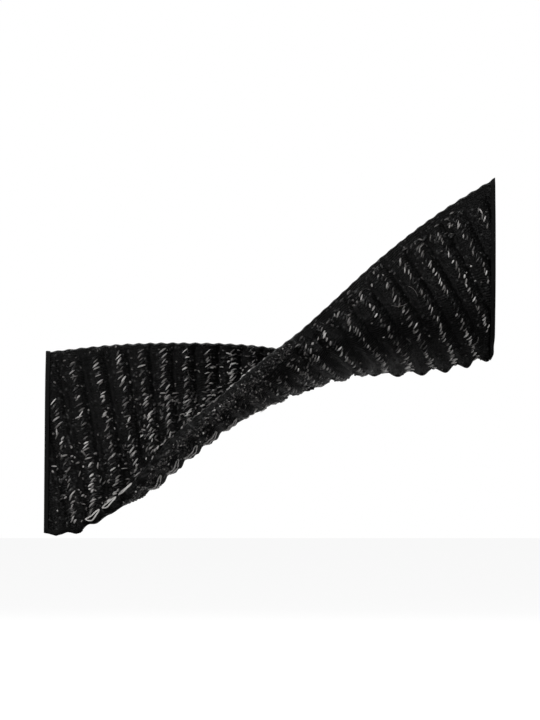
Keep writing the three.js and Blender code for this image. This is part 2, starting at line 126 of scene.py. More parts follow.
LAST_RIB = FIRST_RIB + RIBS_PER_ROW * (len(BAND_ROWS) - 1)


# ---------------------------------------------------------------- the band's middle surface
def spline_weights(place, count):
    """Catmull-Rom weights, one column per point, for places along a list whose ends are mirrored."""
    i = np.clip(np.floor(place), 0, count - 2).astype(int)
    t = place - i
    shares = [
        0.5 * t * (-1 + t * (2 - t)),
        1 + 0.5 * t * t * (-5 + 3 * t),
        0.5 * t * (1 + t * (4 - 3 * t)),
        0.5 * t * t * (t - 1),
    ]
    weights = np.zeros((len(place), count + 2))
    for k, share in enumerate(shares):
        weights[np.arange(len(place)), i + k] += share
    for end, first, second in ((0, 1, 2), (count + 1, count, count - 1)):
        weights[:, first] += 2 * weights[:, end]
        weights[:, second] -= weights[:, end]
    return weights[:, 1:-1]


def middle(rib, across):
    """The band's middle, in its own millimetre frame, at rib numbers and shares of the width."""
    rib, across = np.broadcast_arrays(np.asarray(rib, float), np.asarray(across, float))
    rows, columns, _ = BAND_ROWS.shape
    along = spline_weights((rib.ravel() - FIRST_RIB) / RIBS_PER_ROW, rows)
    over = spline_weights(across.ravel() * (columns - 1), columns)
    rib_points = (along @ BAND_ROWS.reshape(rows, -1)).reshape(-1, columns, 3)
    points = (rib_points * over[:, :, None]).sum(1)
    return points.reshape(rib.shape + (3,))


def normal(rib, across):
    """Its unit normal: backwards on the left wing, forwards on the right wing."""
    step = 0.01
    along = middle(rib + step, across) - middle(rib - step, across)
    over = middle(rib, across + step) - middle(rib, across - step)
    found = np.cross(along, over)
    return found / np.linalg.norm(found, axis=-1, keepdims=True)


def on_band(rib, across, height):
    """Points at a height over the middle surface, in the band's millimetre frame."""
    return middle(rib, across) + normal(rib, across) * np.asarray(height, float)[..., None]


def rib_at_cut(across, height, inset, side):
    """The rib number where the band is cut off: side -1 is the left end and its corner, 1 the right."""
    ribs = np.linspace(FIRST_RIB, LAST_RIB, 109)
    points = on_band(ribs, across[:, None], np.broadcast_to(height, len(across))[:, None])
    if side > 0:
        return np.array([np.interp(WINGSPAN / 2 - inset, row[:, 0], ribs) for row in points])
    depth = np.minimum(points[..., 0] + WINGSPAN / 2, points[..., 2] + CORNER_DROP)
    return np.array([np.interp(inset, row, ribs) for row in np.maximum.accumulate(depth, axis=1)])


def flat_lengths():
    """The flat band's greatest and mean length: the ribs between its two cuts, laid RIB_PITCH apart."""
    across = np.linspace(0, 1, 53)
    left, right = (rib_at_cut(across, np.zeros(len(across)), BAND_INSET, side) for side in (-1, 1))
    return (right.max() - left.min()) * RIB_PITCH, (right - left).mean() * RIB_PITCH


def seat_shift():
    """What takes a point of the band's own frame to the part's, in metres: the sleeve's box says it."""
    share = np.linspace(0, 1, 15)
    ribs = np.linspace(FIRST_RIB, LAST_RIB, 55)
    sides = (-HALF_THICKNESS, HALF_THICKNESS)
    points = np.concatenate([on_band(ribs[:, None], share, h).reshape(-1, 3) for h in sides])
    inside = (np.abs(points[:, 0]) < WINGSPAN / 2) & (points[:, 2] > -CORNER_DROP)
    low = np.array([BAND_INSET - WINGSPAN / 2, points[inside, 1].min(), BAND_INSET - CORNER_DROP])
    return np.array(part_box("knit_sleeve")[0]) - low * MM


SHIFT = seat_shift()


def placed(points):
    """Points of the band's own frame, in the part's frame and in metres."""
    return np.asarray(points) * MM + SHIFT


def on_clip(points):
    """Points given along the plate, outwards from its back face and across it, in the part's frame."""
    x, y, z = np.moveaxis(np.asarray(points, float), -1, 0)
    along = x * math.cos(CLIP_TILT) - z * math.sin(CLIP_TILT)
    up = x * math.sin(CLIP_TILT) + z * math.cos(CLIP_TILT)
    return np.stack([along, y - SEAT_RISE, up], -1) * MM


# ---------------------------------------------------------------- meshes
def new_piece(name, verts, face_groups, material, body="tie"):
    """A smooth mesh object. Each group of faces is an array with one row of vertex numbers a face."""
    mesh = bpy.data.meshes.new(name)
    groups = [np.asarray(group, int) for group in face_groups]
    totals = np.concatenate([np.full(len(group), group.shape[1]) for group in groups])
    corners = np.concatenate([group.ravel() for group in groups])
    mesh.vertices.add(len(verts))
    mesh.vertices.foreach_set("co", np.asarray(verts, np.float32).ravel())
    mesh.loops.add(len(corners))
    mesh.loops.foreach_set("vertex_index", corners.astype(np.int32))
    mesh.polygons.add(len(totals))
    mesh.polygons.foreach_set("loop_start", (np.cumsum(totals) - totals).astype(np.int32))
    mesh.polygons.foreach_set("use_smooth", np.ones(len(totals), bool))
    mesh.update(calc_edges=True)
    mesh.validate()
    piece = bpy.data.objects.new(name, mesh)
    bpy.context.scene.collection.objects.link(piece)
    mesh.materials.append(material)
    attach(piece, body)
    return piece


def add_numbers(piece, name, values):
    attribute = piece.data.attributes.new(name, "FLOAT", "POINT")
    attribute.data.foreach_set("value", np.asarray(values, np.float32).ravel())


def add_vectors(piece, name, values):
    attribute = piece.data.attributes.new(name, "FLOAT_VECTOR", "POINT")
    attribute.data.foreach_set("vector", np.asarray(values, np.float32).ravel())


def grid_quads(columns, rows):
    i, j = np.meshgrid(np.arange(columns - 1), np.arange(rows - 1), indexing="ij")
    corner = (i * rows + j).ravel()
    return np.stack([corner, corner + rows, corner + rows + 1, corner + 1], 1)


def sheet_quads(columns, rows, shared_edges):
    """Quads of a closed sheet whose front grid comes first and back grid second. With shared edges the
    back grid has its first and last rows in common with the front one."""
    layer = columns * rows
    front = grid_quads(columns, rows)
    number = np.arange(2 * layer)
    if shared_edges:
        edge = (number >= layer) & np.isin(number % rows, (0, rows - 1))
        number[edge] -= layer
    back = front[:, ::-1] + layer
    walls = []
    across = np.arange(rows - 1)
    for i, flip in ((0, 1), (columns - 1, -1)):
        a = i * rows + across
        walls.append(np.stack([a, a + 1, a + 1 + layer, a + layer], 1)[:, ::flip])
    if not shared_edges:
        along = np.arange(columns - 1) * rows
        for j, flip in ((0, -1), (rows - 1, 1)):
            a = along + j
            walls.append(np.stack([a, a + rows, a + rows + layer, a + layer], 1)[:, ::flip])
    return number[np.concatenate([front, back, *walls])]


def tubes(lines, radii, sides=6):
    """Closed round tubes along lines of points, all with as many: vertices and groups of faces."""
    lines = np.asarray(lines, float)
    count, length, _ = lines.shape
    radii = np.broadcast_to(radii, (count, length))
    along = np.gradient(lines, axis=1)
    along /= np.linalg.norm(along, axis=2, keepdims=True)
    side = np.cross(along, [0.31, 0.87, 0.38])
    side /= np.linalg.norm(side, axis=2, keepdims=True)
    up = np.cross(along, side)
    turn = np.arange(sides) * 2 * math.pi / sides
    ring = side[:, :, None] * np.cos(turn)[:, None] + up[:, :, None] * np.sin(turn)[:, None]
    verts = (lines[:, :, None] + ring * radii[:, :, None, None]).reshape(-1, 3)
    first = np.arange(count)[:, None, None] * length * sides
    here = first + np.arange(length - 1)[:, None] * sides
    a = here + np.arange(sides)
    b = here + (np.arange(sides) + 1) % sides
    quads = np.stack([a, b, b + sides, a + sides], -1).reshape(-1, 4)
    start = first[:, 0] + np.arange(sides)[::-1]
    end = first[:, 0] + (length - 1) * sides + np.arange(sides)
    return verts, [quads, np.concatenate([start, end])]


def thread_piece(name, lines, radii, material, painted_glints=None, sides=6, body="tie"):
    """One piece of many threads, along lines of points in metres and with radii in millimetres."""
    verts, faces = tubes(lines, np.asarray(radii) * MM, sides)
    piece = new_piece(name, verts, faces, material, body)
    # each thread's painted highlight level, the same on all its vertices
    if painted_glints is not None:
        add_numbers(piece, "painted_glint", np.repeat(painted_glints, len(verts) // len(painted_glints)))
    return piece


# ---------------------------------------------------------------- materials
def new_material(name):
    material = bpy.data.materials.new(name)
    material.use_nodes = True
    tree = material.node_tree
    return material, tree, tree.nodes["Principled BSDF"]


def add_node(tree, kind, **values):
    node = tree.nodes.new(kind)
    for key, value in values.items():
        if key in node.inputs:
            node.inputs[key].default_value = value
        else:
            setattr(node, key, value)
    return node


def mapped_noise(tree, vector, scale, detail=3):
    noise = add_node(tree, "ShaderNodeTexNoise", Scale=scale, Detail=detail)
    tree.links.new(vector, noise.inputs["Vector"])
    return noise.outputs["Fac"]


def ramp(tree, value, stops):
    """A colour ramp of (place, brightness) or (place, colour) stops."""
    node = tree.nodes.new("ShaderNodeValToRGB")
    elements = node.color_ramp.elements
    while len(elements) < len(stops):
        elements.new(0.5)
    for element, (place, colour) in zip(elements, stops):
        element.position = place
        element.color = (*colour, 1) if isinstance(colour, tuple) else (colour, colour, colour, 1)
    tree.links.new(value, node.inputs["Fac"])
    return node.outputs["Color"]


def maths(tree, operation, a, b=None):
    node = tree.nodes.new("ShaderNodeMath")
    node.operation = operation
    for socket, value in zip(node.inputs, (a, b)):
        if value is None:
            continue
        if isinstance(value, (int, float)):
            socket.default_value = value
        else:
            tree.links.new(value, socket)
    return node.outputs[0]


def bump(tree, shader, height, distance, strength=1.0):
    node = add_node(tree, "ShaderNodeBump", Strength=strength, Distance=distance)
    tree.links.new(height, node.inputs["Height"])
    tree.links.new(node.outputs["Normal"], shader.inputs["Normal"])


def knit_material():
    """Black yarn in fine courses. Its colour holds a painted highlight on small stitch heads here and there,
    and a painted shade in the gaps between the heads.
    """
    material, tree, shader = new_material("ribbed_knit_black")
    place = add_node(tree, "ShaderNodeAttribute", attribute_name="place").outputs["Vector"]
    split = tree.nodes.new("ShaderNodeSeparateXYZ")
    tree.links.new(place, split.inputs[0])
    along, across, valley = split.outputs
    slant = maths(tree, "ADD", maths(tree, "MULTIPLY", across, 2 * math.pi / (COURSE / 2)),
                  maths(tree, "MULTIPLY", along, 2.2))
    plied = maths(tree, "SINE", slant)
    grain = mapped_noise(tree, place, 5.5, 4)
    heads = add_node(tree, "ShaderNodeTexVoronoi", Scale=1 / STITCH_HEAD, Randomness=0.85)
    tree.links.new(place, heads.inputs["Vector"])
    height = maths(tree, "ADD", maths(tree, "MULTIPLY", plied, 0.2), maths(tree, "MULTIPLY", grain, 0.5))
    height = maths(tree, "SUBTRACT", height, heads.outputs["Distance"])
    bump(tree, shader, height, 0.0003, 0.9)
    chance = tree.nodes.new("ShaderNodeSeparateColor")
    tree.links.new(heads.outputs["Color"], chance.inputs[0])
    # painted highlight: a few stitch heads, picked at random, get a much lighter colour; the rest only vary
    # a little in their dark tone
    painted_head_glint = ramp(tree, chance.outputs[0], [(0.0, 0.0012), (0.7, 0.0035), (0.88, 0.014), (1.0, 0.09)])
    # painted shade: darker towards the gaps between stitch heads, varied by the grain
    painted_gap_shade = ramp(tree, maths(tree, "ADD", heads.outputs["Distance"], maths(tree, "MULTIPLY", grain, 0.3)),
                 [(0.2, 1.0), (0.75, 0.15)])
    mix = tree.nodes.new("ShaderNodeMix")
    mix.data_type = "RGBA"
    mix.blend_type = "MULTIPLY"
    mix.inputs["Factor"].default_value = 1.0
    tree.links.new(painted_head_glint, mix.inputs["A"])
    tree.links.new(painted_gap_shade, mix.inputs["B"])
    tree.links.new(mix.outputs["Result"], shader.inputs["Base Color"])
    duller = maths(tree, "ADD", grain, maths(tree, "MULTIPLY", valley, 0.25))
    rough = ramp(tree, duller, [(0.3, 0.36), (0.9, 0.6)])
    tree.links.new(rough, shader.inputs["Roughness"])
    shader.inputs["Specular IOR Level"].default_value = 0.2
    shader.inputs["Sheen Weight"].default_value = 0.008
    return material


def filament_material():
    """Lustrous filaments with a fine twist along them, each coloured by a value of its own from the yarn's
    own black up to off-white, and the light end is a painted highlight.
    """
    material, tree, shader = new_material("filament_painted_glint")
    painted_glint = add_node(tree, "ShaderNodeAttribute", attribute_name="painted_glint")
    # painted highlight: the grey and off-white stops stand for glints on black yarn
    colour = ramp(tree, painted_glint.outputs["Fac"], [
        (0.0, 0.006),
        (0.35, 0.03),
        (0.62, (0.2, 0.19, 0.185)),
        (0.85, (0.55, 0.53, 0.52)),
        (1.0, (0.85, 0.83, 0.81)),
    ])
    tree.links.new(colour, shader.inputs["Base Color"])
    geometry = tree.nodes.new("ShaderNodeNewGeometry")
    grain = mapped_noise(tree, geometry.outputs["Position"], 2500, 2)
    bump(tree, shader, grain, 0.00005, 0.5)
    rough = ramp(tree, grain, [(0.3, 0.25), (0.8, 0.45)])
    tree.links.new(rough, shader.inputs["Roughness"])
    shader.inputs["Specular IOR Level"].default_value = 0.5
    return material


def woven_material(name, dark, light, thread_pitch, twill, roughness, sheen):
    """Cloth of crossing threads: plain weave, or twill with diagonal lines."""
    material, tree, shader = new_material(name)
    place = add_node(tree, "ShaderNodeAttribute", attribute_name="place")
    split = tree.nodes.new("ShaderNodeSeparateXYZ")
    tree.links.new(place.outputs["Vector"], split.inputs[0])
    along, across, _ = split.outputs
    turn = 2 * math.pi / thread_pitch
    warp = maths(tree, "SINE", maths(tree, "MULTIPLY", along, turn))
    weft = maths(tree, "SINE", maths(tree, "MULTIPLY", across, turn))
    diagonal = maths(tree, "SINE", maths(tree, "MULTIPLY", maths(tree, "ADD", along, across), turn / 2))
    weave = maths(tree, "ADD", maths(tree, "MULTIPLY", warp, weft), maths(tree, "MULTIPLY", diagonal, twill))
    grain = mapped_noise(tree, place.outputs["Vector"], 7, 4)
    height = maths(tree, "ADD", maths(tree, "MULTIPLY", weave, 0.5), grain)
    bump(tree, shader, height, 0.0001, 0.9)
    tree.links.new(ramp(tree, grain, [(0.3, dark), (0.75, light)]), shader.inputs["Base Color"])
    rough = ramp(tree, grain, [(0.2, roughness - 0.1), (0.8, roughness + 0.08)])
    tree.links.new(rough, shader.inputs["Roughness"])
    shader.inputs["Specular IOR Level"].default_value = 0.2
    shader.inputs["Sheen Weight"].default_value = sheen
    return material


def felt_material():
    material, tree, shader = new_material("felt_black")
    geometry = tree.nodes.new("ShaderNodeNewGeometry")
    fine = mapped_noise(tree, geometry.outputs["Position"], 3200, 5)
    coarse = mapped_noise(tree, geometry.outputs["Position"], 600, 3)
    bump(tree, shader, maths(tree, "ADD", fine, coarse), 0.0002, 0.9)
    tree.links.new(ramp(tree, fine, [(0.3, 0.008), (0.7, 0.026)]), shader.inputs["Base Color"])
    tree.links.new(ramp(tree, coarse, [(0.2, 0.85), (0.8, 0.98)]), shader.inputs["Roughness"])
    shader.inputs["Specular IOR Level"].default_value = 0.1
    shader.inputs["Sheen Weight"].default_value = 0.12
    return material


def thread_material():
    """Black sewing thread with its twist showing."""
    material, tree, shader = new_material("sewing_thread_black")
    geometry = tree.nodes.new("ShaderNodeNewGeometry")
    wave = add_node(tree, "ShaderNodeTexWave", Scale=900, Distortion=1.5)
    wave.bands_direction = "DIAGONAL"
    tree.links.new(geometry.outputs["Position"], wave.inputs["Vector"])
    bump(tree, shader, wave.outputs["Fac"], 0.00006, 0.8)
    tree.links.new(ramp(tree, wave.outputs["Fac"], [(0.1, 0.006), (0.9, 0.03)]), shader.inputs["Base Color"])
    tree.links.new(ramp(tree, wave.outputs["Fac"], [(0.1, 0.5), (0.9, 0.35)]), shader.inputs["Roughness"])
    return material


def steel_material(name, tone, roughness, scratch):
    """Satin steel with fine scratches, smudges and dulled patches."""
    material, tree, shader = new_material(name)
    geometry = tree.nodes.new("ShaderNodeNewGeometry")
    stretch = add_node(tree, "ShaderNodeMapping")
    stretch.inputs["Scale"].default_value = (300, 6000, 6000)
    stretch.inputs["Rotation"].default_value = (0, CLIP_TILT, 0)
    tree.links.new(geometry.outputs["Position"], stretch.inputs["Vector"])
    lines = mapped_noise(tree, stretch.outputs["Vector"], 1.0, 4)
    smudge = mapped_noise(tree, geometry.outputs["Position"], 260, 3)
    bump(tree, shader, lines, 0.000004, scratch)
    both = maths(tree, "ADD", maths(tree, "MULTIPLY", lines, 0.4), maths(tree, "MULTIPLY", smudge, 0.6))
    rough = ramp(tree, both, [(0.3, roughness - 0.08), (0.7, roughness + 0.12)])
    tree.links.new(rough, shader.inputs["Roughness"])
    dull = tuple(0.78 * c for c in tone)
    tree.links.new(ramp(tree, smudge, [(0.25, dull), (0.6, tone)]), shader.inputs["Base Color"])
    shader.inputs["Metallic"].default_value = 1.0
    return material


def rubber_material():
    material, tree, shader = new_material("grip_rubber_dark")
    geometry = tree.nodes.new("ShaderNodeNewGeometry")
    grain = mapped_noise(tree, geometry.outputs["Position"], 2600, 4)
    bump(tree, shader, grain, 0.00006, 0.7)
    tree.links.new(ramp(tree, grain, [(0.3, 0.018), (0.8, 0.045)]), shader.inputs["Base Color"])
    tree.links.new(ramp(tree, grain, [(0.2, 0.62), (0.8, 0.85)]), shader.inputs["Roughness"])
    return material


def plain_material(name, colour, glow=0.0):
    material, _, shader = new_material(name)
    shader.inputs["Base Color"].default_value = (colour, colour, colour, 1)
    shader.inputs["Roughness"].default_value = 0.9
    shader.inputs["Emission Color"].default_value = (1, 1, 1, 1)
    shader.inputs["Emission Strength"].default_value = glow
    return material


# ---------------------------------------------------------------- the knit's relief
def smoothstep(value, low, high):
    t = np.clip((value - low) / (high - low), 0, 1)
    return t * t * (3 - 2 * t)


def valley_share(rib, face):
    """0 on top of a ridge and 1 in the middle of a valley. Face 1 has its valleys at whole rib numbers,
    and face -1 half way between them."""
    phase = rib + 0.5 if face < 0 else rib
    return np.abs(2 * (phase - np.floor(phase)) - 1) ** VALLEY_SHARPNESS


def front_border(rib, face):
    """The width without valleys along the front selvedge."""
    if face < 0:
        return np.full(np.shape(rib), 1.3)
    return np.interp(rib, [4, 9, 14, 24], [9.5, 8.5, 5.2, 4.8])


def back_border(rib):
    """The same along the back selvedge."""
    return np.interp(rib, [0, 1.5, 3, 6, 12], [5, 3.6, 2.4, 1.4, 0.9])


def relief(rib, across, face):
    """The face's height over the band's middle, in millimetres."""
    from_back = across * BAND_WIDTH
    from_front = BAND_WIDTH - from_back
    ribbed = smoothstep(from_back, 0.4 * back_border(rib), back_border(rib) + 0.6)
    ribbed *= smoothstep(from_front, 0.5 * front_border(rib, face), front_border(rib, face) + 0.8)
    in_valley = valley_share(rib, face)
    courses = 0.5 - 0.5 * np.cos(2 * math.pi * (from_back / COURSE + 0.35 * np.sin(2 * math.pi * rib)))
    to_edge = np.minimum(from_back, from_front)
    rounded = np.sqrt(np.clip(1 - (1 - np.clip(to_edge / HALF_THICKNESS, 0, 1)) ** 2, 0, 1))
    height = HALF_THICKNESS - VALLEY_DEPTH * in_valley * ribbed
    height = height - COURSE_HEIGHT * courses * (1 - 0.6 * in_valley)
    return height * rounded


def scalloped(rib, across):
    """The share of the width, with the edges' scallops: one a rib where the band ends below, and two
    small ones a rib where it ends above."""
    from_back = across * BAND_WIDTH
    from_front = BAND_WIDTH - from_back
    scallop = SCALLOP * np.cos(2 * math.pi * rib)
    bumps = SMALL_BUMP * np.cos(4 * math.pi * rib)
    back_low = smoothstep(rib, 11.5, 13.5)
    front_low = 1 - smoothstep(rib, 3, 5)
    back_shift = (scallop * back_low + bumps * (1 - back_low)) * (1 - smoothstep(from_back, 0, 2.6))
    front_shift = (scallop * front_low + bumps * (1 - front_low)) * (1 - smoothstep(from_front, 0, 2.6))
    return across + (front_shift - back_shift) / BAND_WIDTH


def wave(rib, across):
    """How far the whole band swells at each rib beside its lower edge and in the lap's lower fold."""
    from_back = across * BAND_WIDTH
    from_front = BAND_WIDTH - from_back
    right = smoothstep(rib, 11.5, 13.5) * (1 - smoothstep(from_back, 4, 11))
    left = (1 - smoothstep(rib, 10, 11.5)) * smoothstep(rib, 2.5, 4)
    left *= smoothstep(from_front, 0, 5) * (1 - smoothstep(from_front, 14, 20))
    return WAVE * np.cos(2 * math.pi * rib) * (right + left)


# ---------------------------------------------------------------- soft pieces
def across_rows(step):
    """Shares of the width, closer together in the round edges."""
    edge = [0, 0.1, 0.25, 0.45, 0.7, 1.0, 1.3]
    inner = np.arange(1.6, BAND_WIDTH - 1.5, step)
    return np.concatenate([edge, inner, BAND_WIDTH - np.array(edge[::-1])]) / BAND_WIDTH


def band_sheet(name, material, rows, columns, heights, shared_edges):
    """A closed sheet of the band's outline. heights(rib, across, face) gives its two faces."""
    verts, places = [], []
    t = np.linspace(0, 1, columns)[:, None]
    for face in (1, -1):
        reach = face * HALF_THICKNESS * 0.8
        left = rib_at_cut(rows, reach, BAND_INSET, -1)
        right = rib_at_cut(rows, reach, BAND_INSET, 1)
        rib = left + (right - left) * t
        across = np.broadcast_to(rows, rib.shape)
        reach = heights(rib, across, face) * face + wave(rib, across)
        verts.append(on_band(rib, scalloped(rib, across), reach).reshape(-1, 3))
        place = [rib * RIB_PITCH, across * BAND_WIDTH, valley_share(rib, face)]
        places.append(np.stack(place, -1).reshape(-1, 3))
    quads = sheet_quads(columns, len(rows), shared_edges)
    piece = new_piece(name, placed(np.concatenate(verts)), [quads], material)
    add_vectors(piece, "place", np.concatenate(places))
    return piece


def make_band(material):
    rows = across_rows(BAND_ROW_STEP)
    band = band_sheet("ribbed_band", material, rows, BAND_COLUMNS, relief, True)
    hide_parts("knit_sleeve")
    return band


def make_interlining(material):
    edge = SELVEDGE / BAND_WIDTH
    rows = np.linspace(edge, 1 - edge, 60)

    def heights(rib, across, face):
        quilted = 0.03 * np.sin(2 * math.pi * rib) * np.sin(across * BAND_WIDTH * 2)
        return np.full(rib.shape, INTERLINING_HALF - 0.03) + quilted

    sheet = band_sheet("interlining_sheet", material, rows, 140, heights, False)
    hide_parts("interlining")
    return sheet


def binding_outline():
    """The folded tape's section, as (depth from the cut, height over the band's middle)."""
    outer = HALF_THICKNESS + CLEARANCE + BINDING_WALL
    inner = HALF_THICKNESS + CLEARANCE
    bend = 0.45
    half = [(BINDING_LEG, outer - 0.15), (BINDING_LEG - 0.12, outer), (0.8, outer + 0.02)]
    for k in range(4):
        angle = k * math.pi / 6
        half.append((bend * (1 - math.sin(angle)), outer - bend * (1 - math.cos(angle))))
    inside = [(BINDING_LEG, inner), (BINDING_WALL, inner), (BINDING_WALL, inner - 0.6)]
    far_half = [(depth, -height) for depth, height in reversed(half)]
    far_inside = [(depth, -height) for depth, height in inside]
    return half + [(0, 0.6), (0, -0.6)] + far_half + far_inside + inside[::-1]


def make_binding(side, material):
    """A tape folded over the cut end, thinner where it meets the band's two edges."""
    rows = np.linspace(0, 1, 170)
    from_end = (0.5 - np.abs(rows - 0.5)) * BAND_WIDTH
    fullness = np.sqrt(1 - (1 - np.clip(from_end / 2.4, 0, 1)) ** 2) * 0.85 + 0.15
    outline = binding_outline()
    rib_there = rib_at_cut(rows, 0, BINDING_LEG, side)
    rings, places, walked, before = [], [], 0, outline[0]
    for depth, height in outline:
        face = -1 if height < 0 else 1
        hollow = 0.35 * valley_share(rib_there, face) * (abs(height) > HALF_THICKNESS)
        reach = (abs(height) - hollow) * fullness * face
        rib = rib_at_cut(rows, reach, depth, side)
        rings.append(on_band(rib, scalloped(rib, rows), reach + wave(rib, rows)))
        walked += math.dist((depth, height), before)
        before = (depth, height)
        places.append(np.stack([np.full(len(rows), walked), rows * BAND_WIDTH, rows * 0], -1))
    count, length = len(outline), len(rows)
    verts = np.stack(rings, 1).reshape(-1, 3)
    j, k = np.meshgrid(np.arange(length - 1), np.arange(count), indexing="ij")
    a, b = (j * count + k).ravel(), (j * count + (k + 1) % count).ravel()
    quads = np.stack([a, b, b + count, a + count], 1)
    ends = np.stack([np.arange(count)[::-1], (length - 1) * count + np.arange(count)])
    name = "left_end_tape" if side < 0 else "right_end_tape"
    piece = new_piece(name, placed(verts), [quads, ends], material)
    add_vectors(piece, "place", np.stack(places, 1).reshape(-1, 3))
    fix_normals(piece)
    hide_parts("left_end_binding" if side < 0 else "right_end_binding")
    return piece


def fix_normals(piece):
    mesh = bmesh.new()
    mesh.from_mesh(piece.data)
    bmesh.ops.recalc_face_normals(mesh, faces=mesh.faces)
    mesh.to_mesh(piece.data)
    mesh.free()


# ---------------------------------------------------------------- the patch, its sewing and the felt
def make_patch(material):
    """A twill patch with its edges turned under, drawn in by the stitching along three of them."""
    columns, rows = 110, 84
    ribs = np.linspace(*PATCH_RIBS, columns)[:, None]
    shares = np.linspace(*PATCH_ACROSS, rows)[None, :]
    ribs, shares = np.broadcast_arrays(ribs, shares)
    to_side = np.minimum(ribs - PATCH_RIBS[0], PATCH_RIBS[1] - ribs) * RIB_PITCH
    to_top = (shares - PATCH_ACROSS[0]) * BAND_WIDTH
    to_bottom = (PATCH_ACROSS[1] - shares) * BAND_WIDTH
    to_edge = np.minimum(np.minimum(to_side, to_bottom), to_top)
    to_seam = np.minimum(np.abs(to_side - PATCH_MARGIN), np.abs(to_bottom - PATCH_MARGIN))
    rolled = np.sqrt(np.clip(1 - (1 - np.clip(to_edge / 0.5, 0, 1)) ** 2, 0, 1))
    drawn_in = 0.16 * np.exp(-(to_seam / 0.35) ** 2)
    outer = PATCH_FROM + 0.12 + (PATCH_THICKNESS - 0.2) * rolled - drawn_in
    inner = np.full_like(outer, PATCH_FROM + 0.06)
    verts = np.concatenate([on_band(ribs, shares, h).reshape(-1, 3) for h in (outer, inner)])
    place = np.stack([ribs * RIB_PITCH, shares * BAND_WIDTH, to_edge], -1).reshape(-1, 3)
    piece = new_piece("twill_patch", placed(verts), [sheet_quads(columns, rows, False)], material)
    add_vectors(piece, "place", np.concatenate([place, place]))
    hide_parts("backing_patch")
    return piece


def stitch_lines(start, end, height):
    """Stitches between two places (rib, share) of the band, each going down into the cloth."""
    reach = math.hypot((end[0] - start[0]) * RIB_PITCH, (end[1] - start[1]) * BAND_WIDTH)
    count = int(reach / (STITCH_LENGTH + STITCH_GAP))
    t = np.linspace(0, 1, 9)
    lines = []
    for k in range(count):
        share = (k + 0.5 + (t - 0.5) * STITCH_LENGTH / (STITCH_LENGTH + STITCH_GAP)) / count
        rib = start[0] + (end[0] - start[0]) * share
        across = start[1] + (end[1] - start[1]) * share
        dip = 0.45 * np.abs(2 * t - 1) ** 4
        lines.append(on_band(rib, across, height + THREAD_RADIUS - 0.12 - dip))
    return lines


def make_patch_stitches(material):
    left, right = PATCH_RIBS[0] + PATCH_MARGIN / RIB_PITCH, PATCH_RIBS[1] - PATCH_MARGIN / RIB_PITCH
    top, bottom = PATCH_ACROSS[0] + 0.3 / BAND_WIDTH, PATCH_ACROSS[1] - PATCH_MARGIN / BAND_WIDTH
    corners = [(left, top), (left, bottom), (right, bottom), (right, top)]
    lines = []
    for start, end in zip(corners, corners[1:]):
        lines += stitch_lines(start, end, PATCH_TO)
    piece = thread_piece("patch_stitches", placed(lines), THREAD_RADIUS, material, sides=8)
    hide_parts("patch_stitching")
    return piece


def make_felt_pad(material):
    """The pad's own block, remeshed, with soft edges and a fibrous, slightly uneven surface."""
    source = bpy.data.objects["mounting_pad"]
    mesh = source.data.copy()
    mesh.transform(source.matrix_world)
    pad = bpy.data.objects.new("felt_pad", mesh)
    bpy.context.scene.collection.objects.link(pad)
    remesh = pad.modifiers.new("remesh", "REMESH")
    remesh.mode = "VOXEL"
    remesh.voxel_size = 0.16 * MM
    smooth = pad.modifiers.new("smooth", "SMOOTH")
    smooth.factor, smooth.iterations = 0.5, 6
    bpy.context.view_layer.update()
    shaped = bpy.data.meshes.new_from_object(pad.evaluated_get(bpy.context.evaluated_depsgraph_get()))
    pad.modifiers.clear()
    pad.data = shaped
    verts = np.empty(len(shaped.vertices) * 3)
    shaped.vertices.foreach_get("co", verts)
    verts = verts.reshape(-1, 3) / MM
    lump = np.sin(verts @ [2.1, 1.3, 1.7]) * np.sin(verts @ [-1.6, 2.4, 2.9]) * 0.05
    fuzz = np.random.default_rng(5).normal(0, 0.016, len(verts))
    normals = np.empty(len(verts) * 3)
    shaped.vertices.foreach_get("normal", normals)
    verts = verts + normals.reshape(-1, 3) * (lump + fuzz)[:, None]
    shaped.vertices.foreach_set("co", (verts * MM).ravel())
    shaped.update()
    shaped.materials.clear()
    shaped.materials.append(material)
    shaped.shade_smooth()
    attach(pad, "tie")
    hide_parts("mounting_pad")


def make_plate_threads(side, material):
    """Three turns of thread through a pair of the plate's sewing holes, pulled over its back face."""
    x = side * SEWING_HOLES[0] / 2
    half = SEWING_HOLES[1] / 2
    path = [(-PLATE_SHEET, -half), (-0.1, -half), (0.3, -half + 0.15), (0.45, -half + 0.6)]
    path += [(0.5, -0.3), (0.5, 0.3)] + [(y, -z) for y, z in path[::-1]]
    lines = []
    for turn in (-1, 0, 1):
        points = [(x + turn * (0.2 + 0.06 * math.cos(z)), y + 0.12 * (turn == 0), z) for y, z in path]
        lines.append(smooth_line(points, 33))
    name = "plate_threads_left" if side < 0 else "plate_threads_right"
    piece = thread_piece(name, on_clip(lines), THREAD_RADIUS, material, sides=8)
    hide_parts("plate_stitch_left" if side < 0 else "plate_stitch_right")


def smooth_line(points, count):
    """A smooth line of so many points through the given ones."""
    points = np.asarray(points, float)
    return spline_weights(np.linspace(0, len(points) - 1, count), len(points)) @ points


# ---------------------------------------------------------------- the clip's own parts
def finish_cad_part(node, material, edge_radius):
    """Gives a carried-over part its material and softens its edges."""
    part = bpy.data.objects[node]
    part.data.materials.clear()
    part.data.materials.append(material)
    bevel = part.modifiers.new("worn_edges", "BEVEL")
    bevel.width = edge_radius * MM
    bevel.segments = 2
    bevel.limit_method = "ANGLE"
    bevel.angle_limit = math.radians(35)
    bevel.harden_normals = True


